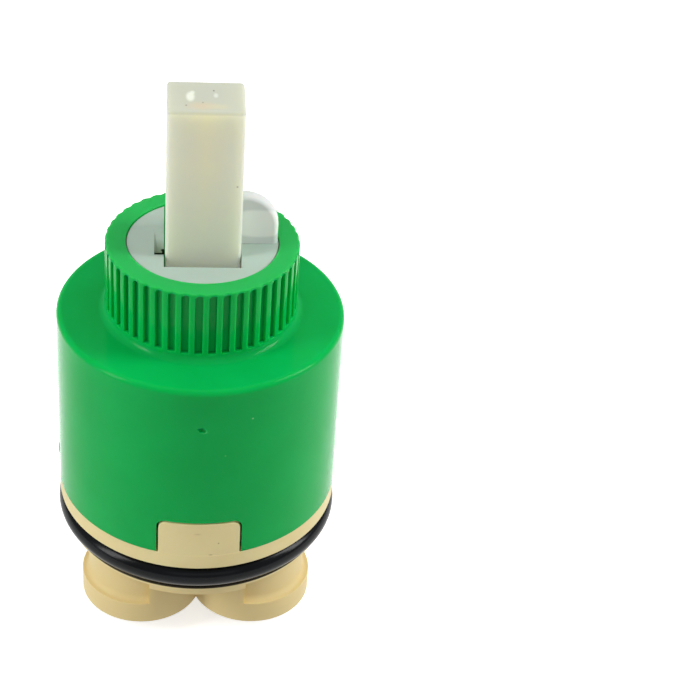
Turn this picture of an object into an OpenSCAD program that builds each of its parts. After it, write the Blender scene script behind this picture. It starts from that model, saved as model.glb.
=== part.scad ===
// Single-lever mixing cartridge: ceramic discs in a fluted barrel, a distributor base and a tilting lever.
// It stands upright with +Z up and its inlet ports towards -Y. The origin is on the axis, at the peg tips.

/* [Barrel] */
// Outside diameter of the barrel and of the base flange
barrel_d = 40; // [39.5:0.1:44]
// Thickness of the barrel wall
barrel_wall = 2; // [1.6:0.1:2.2]
// Height of the barrel from its lower edge to the shoulder
barrel_h = 28.5; // [27.5:0.1:34]
// Thickness of the shoulder wall
shoulder_wall = 2.5; // [1.8:0.1:3]
// Rounding of the outer edge of the shoulder
shoulder_fillet = 0.8; // [0.3:0.1:1.4]
// Radius of the gate dimple on the front of the barrel
dimple_r = 0.45; // [0.2:0.05:0.8]
// Distance of the gate dimple below the shoulder
dimple_drop = 6.3; // [4:0.1:9]

/* [Fluted neck] */
// Outside diameter of the neck
neck_d = 26.5; // [26:0.1:28]
// Height of the neck above the shoulder
neck_h = 10.85; // [9:0.05:14]
// Bore of the neck, in which the guide turns
neck_bore = 20.8; // [20.2:0.1:21.4]
// Number of flutes round the neck
flute_count = 45; // [30:1:48]
// Width of one flute
flute_w = 1.05; // [0.6:0.05:1.2]
// Depth of one flute
flute_depth = 0.8; // [0.4:0.05:1.2]
// Plain band between the shoulder and the flutes
flute_foot = 1.25; // [1.15:0.05:2.5]
// Plain band between the flutes and the rim
flute_head = 0.25; // [0.15:0.05:1.5]
// Radius of the fillet between the neck and the shoulder
neck_fillet = 1.1; // [0.4:0.1:1.1]

/* [Base] */
// Height of the inlet ports, from the seat to the lip
port_h = 9.9; // [8:0.1:13]
// Step of the lip below the O-ring inside the outline of the barrel
lip_step = 1; // [0.6:0.1:1.2]
// Thickness of the lip
lip_h = 0.7; // [0.5:0.1:1.5]
// Width of the flat underside of the lip
lip_face_w = 2.2; // [2:0.1:2.6]
// Depth of the recessed floor above the underside of the lip
floor_depth = 1.5; // [0.8:0.1:1.8]
// Height of the O-ring groove
groove_h = 4.4; // [3.7:0.1:5.4]
// Thickness of the flange between the O-ring and the barrel
flange_h = 2.5; // [1.8:0.1:4]
// Height of the deck above the flange, inside the barrel
deck_h = 2; // [1.6:0.1:3]
// Width of the two tabs that lock the base into the barrel
tab_w = 11.3; // [8:0.1:14]
// Height of the tabs above the flange
tab_h = 5.6; // [4.4:0.1:7]
// Corner radius of the tabs
tab_corner = 1.2; // [0.4:0.1:2]
// Width of the pad below the front of the lip
pad_w = 13.7; // [10:0.1:15]
// Step of the pad below the lip
pad_step = 0.8; // [0.2:0.1:1.2]
// Depth of the pocket behind the pad, above the recessed floor
pocket_depth = 3.2; // [1:0.1:5]
// Wall between that pocket and the O-ring groove
pocket_wall = 1.2; // [0.8:0.1:1.8]
// Thickness of the web across that pocket, and of the ribs in the feet
web_t = 0.9; // [0.6:0.1:1.5]

/* [Ports] */
// Distance between the two inlet ports
port_pitch = 16; // [15.8:0.1:16.6]
// Distance of the ports in front of the axis
port_front = 6.25; // [5.8:0.05:6.6]
// Outside diameter of a port
port_d = 17.4; // [17:0.1:17.8]
// Bore of a port
port_bore = 9.1; // [7.6:0.1:9.6]
// Depth of the port bore above the seat
port_bore_depth = 9; // [7:0.1:10]
// Outside diameter of the spigot inside the seal
spigot_d = 11; // [10.4:0.1:11.6]
// Height of the full-width collar at the seat
collar_h = 3.65; // [3:0.05:5]
// Depth of the scoop above the collar
scoop_depth = 1; // [0.3:0.1:1.2]
// Height of one nib that holds a seal
nib_h = 0.45; // [0.2:0.05:0.6]
// Outside diameter of an inlet seal
inlet_seal_d = 14.8; // [14.2:0.1:15.4]
// Thickness of an inlet seal
inlet_seal_t = 2.6; // [1.8:0.1:3]

/* [Outlet and feet] */
// Diameter of the outlet in the underside
outlet_d = 10; // [8:0.1:10.4]
// Distance of the outlet behind the axis
outlet_back = 4.2; // [3.8:0.1:4.8]
// Depth of the wide outlet above the recessed floor
outlet_depth = 3; // [2:0.1:5]
// Step of the two feet inside the edge of the lip
feet_step = 0.3; // [0.2:0.1:0.8]
// Distance of the feet behind the axis
feet_back = 6.3; // [5.6:0.1:7]
// Gap between the two feet
feet_gap = 9.4; // [8:0.1:11]
// Wall thickness of a foot
foot_wall = 1.3; // [0.9:0.1:1.6]
// Rounding of the inner front corner of a foot
foot_corner = 3.5; // [2:0.1:4]
// Depth of the pocket in a foot
foot_pocket = 6; // [4:0.1:8]
// Distance between the two locating pegs
peg_pitch = 20.8; // [19:0.1:22]
// Distance of the pegs behind the axis
peg_back = 11.7; // [11:0.1:12.4]
// Diameter of a peg
peg_d = 5.2; // [4:0.1:5.6]
// Diameter of the boss that carries a peg inside its foot
boss_d = 5.7; // [5.7:0.1:6.2]
// Reach of a peg below the seat
peg_reach = 3; // [1.5:0.1:5]
// Chamfer of the tip of a peg
peg_chamfer = 0.4; // [0.2:0.1:0.8]
// Diameter of the core hole in a peg
peg_core = 2.4; // [1.4:0.1:3]

/* [Seals] */
// Thickness of the body O-ring
o_ring_t = 3.5; // [3:0.05:3.6]
// Amount by which the body O-ring stands proud of the barrel
o_ring_proud = 0.2; // [0.05:0.05:0.4]
// Width of the seals below the fixed disc
disc_seal_w = 1.2; // [0.8:0.1:1.3]
// Margin between a hole and the seal round it
seal_land = 0.55; // [0.4:0.05:0.7]
// Thickness of the seals below the fixed disc
disc_seal_t = 1.5; // [1:0.1:1.9]
// Amount by which those seals stand out of the deck
disc_seal_stand = 0.4; // [0.2:0.05:0.7]
// Width of the seal between the carrier and the moving disc
carrier_seal_w = 1.2; // [0.8:0.1:1.8]
// Thickness of the seal between the carrier and the moving disc
carrier_seal_t = 1.1; // [0.7:0.1:1.6]

/* [Ceramic discs] */
// Gap between the rim of the fixed disc and the barrel
fixed_disc_room = 1.8; // [1.5:0.1:2.2]
// Thickness of the fixed disc
fixed_disc_t = 4.5; // [3.5:0.1:5]
// Distance between the two inlet holes of the fixed disc
disc_inlet_pitch = 10.8; // [10.4:0.1:11.4]
// Distance of the inlet holes in front of the axis
disc_inlet_front = 4.2; // [4:0.1:4.6]
// Diameter of the inlet holes
disc_inlet_d = 5.4; // [4.4:0.1:5.6]
// Distance of the outlet hole behind the axis
disc_outlet_back = 4.8; // [4.7:0.1:5.4]
// Diameter of the outlet hole
disc_outlet_d = 7.8; // [6:0.1:8]
// Thickness of the moving disc
moving_disc_t = 4; // [3:0.1:4.5]
// Width of the mixing slot in the moving disc
mixing_slot_w = 7.2; // [6:0.1:7.4]
// Length of the mixing slot between the centres of its ends
mixing_slot_run = 8; // [6:0.1:9]
// Distance of the slot's front end in front of the disc's centre
mixing_slot_front = 2.5; // [2:0.1:3]

/* [Carrier] */
// Gap between the carrier at mid travel and the barrel
carrier_room = 3.6; // [3.2:0.1:3.8]
// Thickness of the carrier's plate
carrier_t = 5; // [4.2:0.1:5.6]
// Depth of the skirt round the moving disc
skirt_h = 2; // [1.2:0.1:2.6]
// Thickness of that skirt
skirt_wall = 1.15; // [1.05:0.05:1.45]
// Depth of the water chamber in the underside
chamber_depth = 1.3; // [0.6:0.1:1.8]
// Width of the block that slides between the guide's rails
slider_w = 16; // [14:0.1:17]
// Length of that block along its travel
slider_len = 12.4; // [11.4:0.1:14]
// Gap between that block and the guide's flange
slider_room = 1.64; // [1.2:0.02:2.4]
// Width of the keys that turn the discs
key_w = 2.4; // [1.6:0.1:3.2]
// Depth of the keys in the rims of the discs
key_depth = 1.1; // [0.6:0.1:1.4]

/* [Guide] */
// Distance of the guide's top below the rim of the neck
guide_drop = 0.2; // [0.1:0.05:1.5]
// Thickness of the guide's flange
guide_flange_t = 3; // [2.2:0.1:3.6]
// Thickness of the ring between the guide and the shoulder
thrust_ring_t = 0.8; // [0.4:0.1:1.2]
// Width of that ring
thrust_ring_w = 3.9; // [2.5:0.1:4.2]
// Depth of the seat of that ring in the flange
thrust_seat = 0.4; // [0.2:0.05:0.8]
// Distance of the ring's edges from the neck bore and from the flange's rim
ring_margin = 0.5; // [0.3:0.1:1]
// Distance of the front of the lever slot from the axis
slot_front = 6.35; // [6.3:0.05:7]
// Length of the recess beside the lever slot
recess_len = 5.8; // [4:0.1:6.4]
// Distance of that recess's front edge in front of the axis
recess_front = 3.45; // [2.8:0.05:4]
// Width of the recess beside the lever slot
recess_w = 1.3; // [0.8:0.05:2]
// Depth at which the sloping floor of the recess ends
recess_depth = 0.45; // [0.2:0.05:1]
// Length of the deep gap in front of that floor
recess_gap = 1.1; // [0.6:0.1:2]
// Depth of that gap
recess_gap_depth = 4.2; // [1.2:0.1:5]
// Height of the ear above the guide's top
ear_h = 7.55; // [6.5:0.05:11]
// Thickness of the ear
ear_t = 2; // [1.2:0.1:5]
// Distance of the ear's front face in front of the axis
ear_front = 0.45; // [0:0.05:1]
// Flat part of the ear's top beside the lever slot
ear_flat = 0.25; // [0.1:0.05:2]
// Half of the turn allowed to the guide
turn_limit = 50; // [30:1:55]
// Half angle of the stop lug on the flange
lug_half = 10; // [6:1:14]
// Angle taken up by one stop under the shoulder
stop_angle = 8; // [4:1:14]

/* [Lever] */
// Width of the lever
lever_w = 10.2; // [8:0.1:10.6]
// Depth of the lever from front to back
lever_depth = 8; // [6:0.1:8.1]
// Reach of the lever above the rim of the neck
lever_reach = 22.15; // [15:0.05:30]
// Rounding of the lever's top edges
lever_round = 0.5; // [0.3:0.1:1.6]
// Rounding of the lever's upright edges
lever_edge = 0.6; // [0.3:0.1:1.2]
// Depth of the lower shank from front to back
shank_depth = 4.4; // [3.6:0.1:4.5]
// Diameter of the round foot that drives the carrier
foot_d = 6.4; // [6:0.1:6.6]
// Width of the round foot and the lower shank
foot_w = 8.8; // [7:0.1:9]
// Height of the pivot above the shoulder
pivot_rise = 1; // [0.4:0.1:1.4]
// Diameter of the lever pin
pin_d = 3.2; // [2.4:0.1:4]
// Distance of the pin's ends inside the guide's surface
pin_inset = 0.45; // [0.3:0.05:1]

/* [Clearances] */
// Gap between the base and the barrel in plan
base_gap = 0.1; // [0.05:0.01:0.2]
// Gap round the tabs in their windows
tab_gap = 0.2; // [0.1:0.05:0.3]
// Radial gap between the guide and the neck
guide_gap = 0.08; // [0.05:0.01:0.1]
// Film between faces that slide on each other
film = 0.03; // [0.02:0.01:0.06]
// Gap between the lever and the sides of its slot
lever_gap = 0.15; // [0.1:0.05:0.4]
// Gap between the carrier and the parts it slides on or drives
slide_gap = 0.08; // [0.05:0.01:0.1]
// Radial gap of the pin in the lever
pin_gap = 0.05; // [0.03:0.01:0.08]
// Gap between a disc and the keys that hold it
disc_gap = 0.05; // [0.03:0.01:0.1]
// Radial gap of the stop lug to the barrel, and of the stops to the flange
lug_gap = 0.5; // [0.3:0.1:0.8]
// Angle between the lug and a stop at the end of the turn
stop_gap_angle = 0.5; // [0.3:0.1:1]

/* [Hidden] */
$fn = 96;
// Overlap that makes a cut run clear of a face
cut = 1;
// Width and height of the snap bead between the base and the barrel
bead = 0.3;
bead_h = 0.7;

barrel_r = barrel_d / 2;
bore_r = barrel_r - barrel_wall;
seat_z = peg_reach;
lip_z = seat_z + port_h;
floor_z = lip_z + floor_depth;
groove_z = lip_z + lip_h;
flange_z = groove_z + groove_h;
barrel_z = flange_z + flange_h;
deck_z = barrel_z + deck_h;
shoulder_z = barrel_z + barrel_h;
roof_z = shoulder_z - shoulder_wall;
rim_z = shoulder_z + neck_h;
neck_r = neck_d / 2;
neck_bore_r = neck_bore / 2;

lip_r = barrel_r - lip_step;
lip_inner_r = lip_r - lip_face_w;
feet_r = lip_r - feet_step;
o_ring_r = barrel_r + o_ring_proud - o_ring_t / 2;
groove_r = o_ring_r - o_ring_t / 2 - film;
plug_r = bore_r - base_gap;

port_x = port_pitch / 2;
port_r = port_d / 2;
port_bore_r = port_bore / 2;
spigot_r = spigot_d / 2;
inlet_seal_r = inlet_seal_d / 2;
bore_end_z = seat_z + port_bore_depth;
disc_inlet_x = disc_inlet_pitch / 2;
disc_inlet_r = disc_inlet_d / 2;
disc_outlet_r = disc_outlet_d / 2;

fixed_disc_z = deck_z + disc_seal_stand;
moving_disc_z = fixed_disc_z + fixed_disc_t + film;
carrier_z = moving_disc_z + moving_disc_t;
carrier_top = carrier_z + carrier_t;
fixed_disc_r = bore_r - fixed_disc_room;
carrier_r = bore_r - carrier_room;
moving_disc_r = carrier_r - skirt_wall - disc_gap;

guide_r = neck_bore_r - guide_gap;
guide_top = rim_z - guide_drop;
ring_top = roof_z - film;
flange_top = ring_top - thrust_ring_t + thrust_seat;
flange_bottom = flange_top - guide_flange_t;
slider_h = flange_bottom - slider_room - carrier_top;
slot_half = lever_w / 2 + lever_gap;
rail_x = slider_w / 2 + slide_gap;
rail_z = carrier_top + film;
ring_inner_r = neck_bore_r + ring_margin;
ring_outer_r = ring_inner_r + thrust_ring_w;
guide_flange_r = ring_outer_r + ring_margin;
lug_r = bore_r - lug_gap;
stop_inner_r = guide_flange_r + lug_gap;

pivot_z = shoulder_z + pivot_rise;
foot_r = foot_d / 2;
foot_z = carrier_top + foot_r / 2;
lever_top = rim_z + lever_reach;
pin_r = pin_d / 2;
pin_half = guide_r - pin_inset;

/* Shared shapes */

module ring(outer_r, inner_r, h) {
  difference() {
    cylinder(r = outer_r, h = h);
    translate([0, 0, -cut]) cylinder(r = inner_r, h = h + 2 * cut);
  }
}

// Flat outline w by h on the X axis, with its two upper corners rounded
module tab_outline(w, h, corner) {
  translate([-w / 2, -cut]) square([w, h - corner + cut]);
  translate([-w / 2 + corner, -cut]) square([w - 2 * corner, h + cut]);
  for (side = [-1, 1])
    translate([side * (w / 2 - corner), h - corner]) circle(r = corner);
}

// Flat rectangle w by d about the origin, with all corners rounded
module rounded_rect(w, d, corner) {
  square([w - 2 * corner, d], center = true);
  square([w, d - 2 * corner], center = true);
  for (x = [-1, 1], y = [-1, 1])
    translate([x * (w / 2 - corner), y * (d / 2 - corner)]) circle(r = corner);
}

// Turns a flat X-Z outline to stand upright, and gives it a depth along Y, centred
module upright(depth) {
  rotate([90, 0, 0])
    translate([0, 0, -depth / 2]) linear_extrude(height = depth) children();
}

// Pie slice of half angle half, centred on +Y
module slice(half, r) {
  polygon([[0, 0], [r * tan(half), r], [-r * tan(half), r]]);
}

module at_ports() {
  for (side = [-1, 1])
    translate([side * port_x, -port_front, 0]) children();
}

module at_disc_inlets() {
  for (side = [-1, 1])
    translate([side * disc_inlet_x, -disc_inlet_front, 0]) children();
}

/* Housing */

module housing_profile() {
  difference() {
    union() {
      translate([0, barrel_z]) square([barrel_r, barrel_h]);
      neck_profile();
    }
    translate([0, barrel_z - cut]) square([bore_r, roof_z - barrel_z + cut]);
    translate([0, roof_z - cut]) square([neck_bore_r, rim_z - roof_z + 2 * cut]);
    translate([barrel_r - shoulder_fillet, shoulder_z - shoulder_fillet]) difference() {
      square(shoulder_fillet + cut);
      circle(r = shoulder_fillet);
    }
    translate([bore_r - cut, deck_z - deck_h / 2 - bead_h / 2 - base_gap])
      square([cut + bead, bead_h + 2 * base_gap]);
  }
}

module neck_profile() {
  translate([0, shoulder_z - cut]) square([neck_r, neck_h + cut]);
  difference() {
    translate([0, shoulder_z - cut]) square([neck_r + neck_fillet, neck_fillet + cut]);
    translate([neck_r + neck_fillet, shoulder_z + neck_fillet]) circle(r = neck_fillet);
  }
}

module flutes() {
  flute_h = neck_h - flute_foot - flute_head;
  for (i = [0 : flute_count - 1])
    rotate(180 + i * 360 / flute_count)
      translate([neck_r - flute_depth, -flute_w / 2, shoulder_z + flute_foot])
        cube([flute_depth + cut, flute_w, flute_h]);
}

// Two blocks under the shoulder that end the turn of the guide's lug
module turn_stops() {
  for (side = [-1, 1])
    rotate(side * (turn_limit + lug_half + stop_gap_angle + stop_angle / 2))
      intersection() {
        translate([0, 0, flange_bottom]) ring(bore_r + bead, stop_inner_r, roof_z - flange_bottom + bead);
        translate([0, 0, flange_bottom - cut])
          linear_extrude(height = roof_z - flange_bottom + 2 * cut) slice(stop_angle / 2, barrel_r);
      }
}

module housing() {
  color("#1aa554") {
    difference() {
      rotate_extrude() housing_profile();
      flutes();
      translate([0, 0, barrel_z])
        upright(2 * barrel_d) tab_outline(tab_w + 2 * tab_gap, tab_h + tab_gap, tab_corner);
      translate([0, -barrel_r, shoulder_z - dimple_drop]) sphere(r = dimple_r);
    }
    turn_stops();
  }
}

/* Base */

module base_profile() {
  polygon([
    [0, floor_z], [lip_inner_r - floor_depth, floor_z], [lip_inner_r, lip_z], [lip_r, lip_z],
    [lip_r, groove_z], [groove_r, groove_z], [groove_r, flange_z], [barrel_r, flange_z],
    [barrel_r, barrel_z], [plug_r, barrel_z], [plug_r, deck_z], [0, deck_z]
  ]);
  translate([0, deck_z - deck_h / 2 - bead_h / 2]) square([plug_r + bead, bead_h]);
}

// Space below the O-ring that ports and feet may fill: the lip's outline, and the groove's root above it
module under_lip() {
  translate([0, 0, -cut]) cylinder(r = lip_r, h = groove_z + cut);
  cylinder(r = groove_r, h = flange_z);
}

// One port down to the seat: a full collar, and a narrower wall above it outside the pad's width
module port_wall() {
  cylinder(r = port_r, h = collar_h);
  translate([0, 0, collar_h]) cylinder(r1 = port_r, r2 = port_r - scoop_depth, h = scoop_depth);
  cylinder(r = port_r - scoop_depth, h = floor_z + cut - seat_z);
}

module ports() {
  translate([0, 0, seat_z]) {
    at_ports() port_wall();
    intersection() {
      at_ports() cylinder(r = port_r, h = floor_z + cut - seat_z);
      translate([-pad_w / 2, -barrel_r, 0]) cube([pad_w, barrel_d, floor_z + cut - seat_z]);
    }
  }
}

module front_pad() {
  pad_z = lip_z - pad_step;
  intersection() {
    translate([0, 0, pad_z]) ring(lip_r, lip_inner_r, groove_z - pad_z);
    translate([-pad_w / 2, -barrel_r, pad_z - cut]) cube([pad_w, barrel_r, floor_z]);
  }
  translate([-web_t / 2, -lip_inner_r, lip_z])
    cube([web_t, lip_inner_r - port_front, floor_z + cut - lip_z]);
}

// Space between the pad and the two ports, split by the web
module front_pocket() {
  translate([0, 0, floor_z - cut]) linear_extrude(height = pocket_depth + cut) difference() {
    intersection() {
      circle(r = groove_r - pocket_wall);
      translate([-pad_w / 2, -barrel_r]) square([pad_w, barrel_r - port_front]);
    }
    at_ports() circle(r = port_r);
    translate([-web_t / 2, -barrel_r]) square([web_t, barrel_r]);
  }
}

// Left foot's outline, moved inwards by inset
module foot_outline(inset) {
  corner = foot_corner - inset;
  side = feet_gap / 2 + inset;
  front = feet_back + inset;
  intersection() {
    circle(r = feet_r - inset);
    union() {
      translate([-barrel_r, front]) square([barrel_r - side - corner, barrel_r]);
      translate([-barrel_r, front + corner]) square([barrel_r - side, barrel_r]);
      translate([-side - corner, front + corner]) circle(r = corner);
    }
  }
}

module left_foot() {
  pocket_z = seat_z + foot_pocket;
  difference() {
    union() {
      difference() {
        translate([0, 0, seat_z]) linear_extrude(height = floor_z + cut - seat_z) foot_outline(0);
        translate([0, 0, seat_z - cut]) linear_extrude(height = foot_pocket + cut) foot_outline(foot_wall);
      }
      translate([-peg_pitch / 2, peg_back, seat_z]) cylinder(d = boss_d, h = foot_pocket + cut);
      translate([-peg_pitch / 2, peg_back, peg_chamfer]) cylinder(r = peg_d / 2, h = peg_reach);
      translate([-peg_pitch / 2, peg_back, 0])
        cylinder(r1 = peg_d / 2 - peg_chamfer, r2 = peg_d / 2, h = peg_chamfer);
      foot_rib(seat_z + peg_chamfer, pocket_z);
    }
    translate([-peg_pitch / 2, peg_back, -cut]) cylinder(d = peg_core, h = pocket_z + cut);
  }
}

// Rib from the peg's boss to the rounded corner of its foot
module foot_rib(low, high) {
  intersection() {
    translate([0, 0, low]) linear_extrude(height = high - low + cut) foot_outline(foot_wall / 2);
    translate([-peg_pitch / 2, peg_back, low]) rotate(-45)
      translate([0, -web_t / 2, 0]) cube([barrel_r, web_t, high - low + cut]);
  }
}

module tabs() {
  difference() {
    intersection() {
      translate([0, 0, flange_z]) cylinder(r = barrel_r, h = barrel_d);
      translate([0, 0, barrel_z]) upright(2 * barrel_d) tab_outline(tab_w, tab_h, tab_corner);
    }
    translate([0, 0, deck_z]) cylinder(r = bore_r + base_gap, h = barrel_d);
  }
}

// Small teeth on the spigot that keep an inlet seal in its groove
module nibs() {
  for (turn = [0 : 90 : 270])
    rotate(turn) translate([0, 0, seat_z]) linear_extrude(height = nib_h)
      polygon([[spigot_r - nib_h, nib_h], [spigot_r - nib_h, -nib_h], [spigot_r, -nib_h],
        [spigot_r + nib_h, 0], [spigot_r, nib_h]]);
}

module disc_locators() {
  for (side = [-1, 1])
    intersection() {
      translate([0, 0, deck_z - cut])
        ring(plug_r, fixed_disc_r - key_depth + disc_gap, fixed_disc_t / 2 + disc_seal_stand + cut);
      translate([side * barrel_r / 2, 0, deck_z]) cube([barrel_r, key_w, 2 * barrel_r], center = true);
    }
}

module base() {
  color("#d8c48c") {
    difference() {
      union() {
        rotate_extrude() base_profile();
        intersection() {
          union() {
            ports();
            front_pad();
            left_foot();
            mirror([1, 0, 0]) left_foot();
          }
          under_lip();
        }
        tabs();
        disc_locators();
      }
      front_pocket();
      at_ports() translate([0, 0, seat_z - cut]) cylinder(r = port_bore_r, h = port_bore_depth + cut);
      at_ports() translate([0, 0, seat_z - cut]) ring(inlet_seal_r, spigot_r, inlet_seal_t + cut);
      at_disc_inlets() translate([0, 0, bore_end_z - cut]) cylinder(r = disc_inlet_r, h = barrel_d);
      translate([0, outlet_back, floor_z - cut]) cylinder(d = outlet_d, h = outlet_depth + cut);
      translate([0, disc_outlet_back, floor_z]) cylinder(r = disc_outlet_r, h = barrel_d);
      translate([0, 0, deck_z + disc_seal_stand - disc_seal_t]) {
        at_disc_inlets() disc_seal(disc_inlet_r, cut);
        translate([0, disc_outlet_back, 0]) disc_seal(disc_outlet_r, cut);
      }
    }
    at_ports() nibs();
  }
}

/* Seals */

module disc_seal(hole_r, extra) {
  ring(hole_r + seal_land + disc_seal_w, hole_r + seal_land, disc_seal_t + extra);
}

module body_o_ring() {
  color("#17191d")
    translate([0, 0, (groove_z + flange_z) / 2])
      rotate_extrude() translate([o_ring_r, 0]) circle(r = o_ring_t / 2);
}

// Flat ring, with a rebate in its inner lower edge that clears the nibs
module inlet_seal(side) {
  rebate = nib_h + film;
  color("#17191d")
    translate([side * port_x, -port_front, seat_z])
      rotate_extrude() polygon([
        [spigot_r + rebate, 0], [inlet_seal_r, 0], [inlet_seal_r, inlet_seal_t],
        [spigot_r, inlet_seal_t], [spigot_r, rebate], [spigot_r + rebate, rebate]
      ]);
}

module inlet_seal_left() {
  inlet_seal(-1);
}

module inlet_seal_right() {
  inlet_seal(1);
}

module placed_disc_seal(x, y, hole_r) {
  color("#17191d")
    translate([x, y, fixed_disc_z - disc_seal_t]) disc_seal(hole_r, 0);
}

module disc_seal_left() {
  placed_disc_seal(-disc_inlet_x, -disc_inlet_front, disc_inlet_r);
}

module disc_seal_right() {
  placed_disc_seal(disc_inlet_x, -disc_inlet_front, disc_inlet_r);
}

module disc_seal_outlet() {
  placed_disc_seal(0, disc_outlet_back, disc_outlet_r);
}

/* Ceramic discs and carrier */

module fixed_disc() {
  notch_r = fixed_disc_r - key_depth;
  color("#3a3d35")
    translate([0, 0, fixed_disc_z]) difference() {
      cylinder(r = fixed_disc_r, h = fixed_disc_t);
      translate([0, 0, -cut]) {
        at_disc_inlets() cylinder(r = disc_inlet_r, h = fixed_disc_t + 2 * cut);
        translate([0, disc_outlet_back, 0]) cylinder(r = disc_outlet_r, h = fixed_disc_t + 2 * cut);
        for (side = [-1, 1])
          intersection() {
            ring(fixed_disc_r + cut, notch_r, fixed_disc_t + 2 * cut);
            translate([side * fixed_disc_r, 0, 0])
              cube([2 * fixed_disc_r, key_w + 2 * disc_gap, 4 * fixed_disc_t], center = true);
          }
      }
    }
}

// Long slot outline along Y, grown by grow
module mixing_outline(grow) {
  half = mixing_slot_w / 2 + grow;
  for (y = [-mixing_slot_front, mixing_slot_run - mixing_slot_front])
    translate([0, y]) circle(r = half);
  translate([-half, -mixing_slot_front]) square([2 * half, mixing_slot_run]);
}

module disc_keys(gap, h) {
  for (side = [-1, 1])
    intersection() {
      ring(moving_disc_r + cut, moving_disc_r - key_depth - gap, h);
      translate([side * moving_disc_r, 0, 0])
        cube([2 * moving_disc_r, key_w + 2 * gap, 4 * h], center = true);
    }
}

module moving_disc() {
  color("#474a42")
    translate([0, 0, moving_disc_z]) difference() {
      cylinder(r = moving_disc_r, h = moving_disc_t);
      translate([0, 0, -cut]) linear_extrude(height = moving_disc_t + 2 * cut) mixing_outline(0);
      translate([0, 0, moving_disc_t - skirt_h - disc_gap]) disc_keys(disc_gap, skirt_h + cut);
    }
}

module carrier_seal_outline() {
  difference() {
    mixing_outline(seal_land + carrier_seal_w);
    mixing_outline(seal_land);
  }
}

module carrier_seal() {
  color("#17191d")
    translate([0, 0, carrier_z]) linear_extrude(height = carrier_seal_t) carrier_seal_outline();
}

module disc_carrier() {
  socket_z = foot_z - foot_r - 2 * lever_gap;
  color("#3d4247") difference() {
    union() {
      translate([0, 0, carrier_z]) cylinder(r = carrier_r, h = carrier_t);
      translate([0, 0, carrier_z - skirt_h]) ring(carrier_r, moving_disc_r + disc_gap, skirt_h + cut);
      translate([0, 0, carrier_z - skirt_h]) intersection() {
        disc_keys(0, skirt_h + cut);
        cylinder(r = carrier_r, h = skirt_h + cut);
      }
      translate([-slider_w / 2, -slider_len / 2, carrier_top - cut])
        cube([slider_w, slider_len, slider_h + cut]);
    }
    translate([0, 0, carrier_z - cut]) linear_extrude(height = chamber_depth + cut) mixing_outline(0);
    translate([0, 0, carrier_z - cut]) linear_extrude(height = carrier_seal_t + cut) carrier_seal_outline();
    translate([-foot_w / 2 - lever_gap, -foot_r - slide_gap, socket_z])
      cube([foot_w + 2 * lever_gap, foot_d + 2 * slide_gap, barrel_h]);
  }
}

/* Guide, its ring and the lever pin */

module guide_lug() {
  intersection() {
    translate([0, 0, flange_bottom]) cylinder(r = lug_r, h = guide_flange_t);
    translate([0, 0, flange_bottom]) linear_extrude(height = guide_flange_t) slice(lug_half, barrel_r);
  }
}

// Two rails that keep the carrier's block square to the guide
module guide_rails() {
  for (side = [-1, 1])
    intersection() {
      translate([0, 0, rail_z]) cylinder(r = carrier_r, h = flange_bottom - rail_z + cut);
      translate([side * (rail_x + barrel_r / 2), 0, rail_z])
        cube([barrel_r, barrel_d, barrel_d], center = true);
    }
}

module ear() {
  ear_w = guide_r - slot_half;
  ear_corner = ear_w - ear_flat;
  intersection() {
    translate([0, 0, guide_top - cut]) cylinder(r = guide_r, h = ear_h + 2 * cut);
    translate([slot_half, ear_t - ear_front, guide_top]) rotate([90, 0, 0]) linear_extrude(height = ear_t) {
      translate([0, -cut]) square([ear_w, ear_h - ear_corner + cut]);
      square([ear_w - ear_corner, ear_h]);
      intersection() {
        translate([ear_w - ear_corner, ear_h - ear_corner]) circle(r = ear_corner);
        square([ear_w, ear_h]);
      }
    }
  }
}

// Recess beside the slot: a floor that slopes down to a deep gap at its front
module guide_recess() {
  ramp_start = recess_gap - recess_front;
  ramp_end = recess_len - recess_front;
  rotate([90, 0, 90]) linear_extrude(height = recess_w + cut)
    polygon([[ramp_start, -recess_depth], [ramp_end, 0], [ramp_end, cut], [ramp_start, cut]]);
  translate([0, -recess_front, -recess_gap_depth])
    cube([recess_w + cut, recess_gap + cut, recess_gap_depth + cut]);
}

module rotary_guide() {
  color("#d3dcda") difference() {
    union() {
      translate([0, 0, flange_bottom]) cylinder(r = guide_flange_r, h = guide_flange_t);
      translate([0, 0, flange_bottom]) cylinder(r = guide_r, h = guide_top - flange_bottom);
      guide_lug();
      guide_rails();
      ear();
    }
    translate([-slot_half, -slot_front, rail_z - cut])
      cube([2 * slot_half, 2 * slot_front, guide_top - rail_z + 2 * cut]);
    translate([-slot_half, 0, flange_top]) cube([2 * slot_half, barrel_r, barrel_d]);
    translate([-slot_half - recess_w, 0, guide_top]) guide_recess();
    translate([0, 0, flange_top - thrust_seat])
      ring(ring_outer_r + film, ring_inner_r - film, thrust_seat + cut);
    translate([-barrel_r, 0, pivot_z]) rotate([0, 90, 0]) cylinder(r = pin_r, h = barrel_d);
  }
}

module thrust_ring() {
  color("#b9bfc4")
    translate([0, 0, ring_top - thrust_ring_t]) ring(ring_outer_r, ring_inner_r, thrust_ring_t);
}

module lever_pin() {
  color("silver")
    translate([-pin_half, 0, pivot_z]) rotate([0, 90, 0]) cylinder(r = pin_r, h = 2 * pin_half);
}

/* Lever */

module lever_bar() {
  bar_z = pivot_z - lever_depth / 2;
  bar_h = lever_top - bar_z;
  intersection() {
    translate([0, 0, bar_z]) linear_extrude(height = bar_h) rounded_rect(lever_w, lever_depth, lever_edge);
    translate([0, 0, bar_z]) upright(2 * lever_depth) tab_outline(lever_w, bar_h, lever_round);
    translate([0, 0, bar_z]) rotate(90) upright(2 * lever_w) tab_outline(lever_depth, bar_h, lever_round);
  }
}

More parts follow.
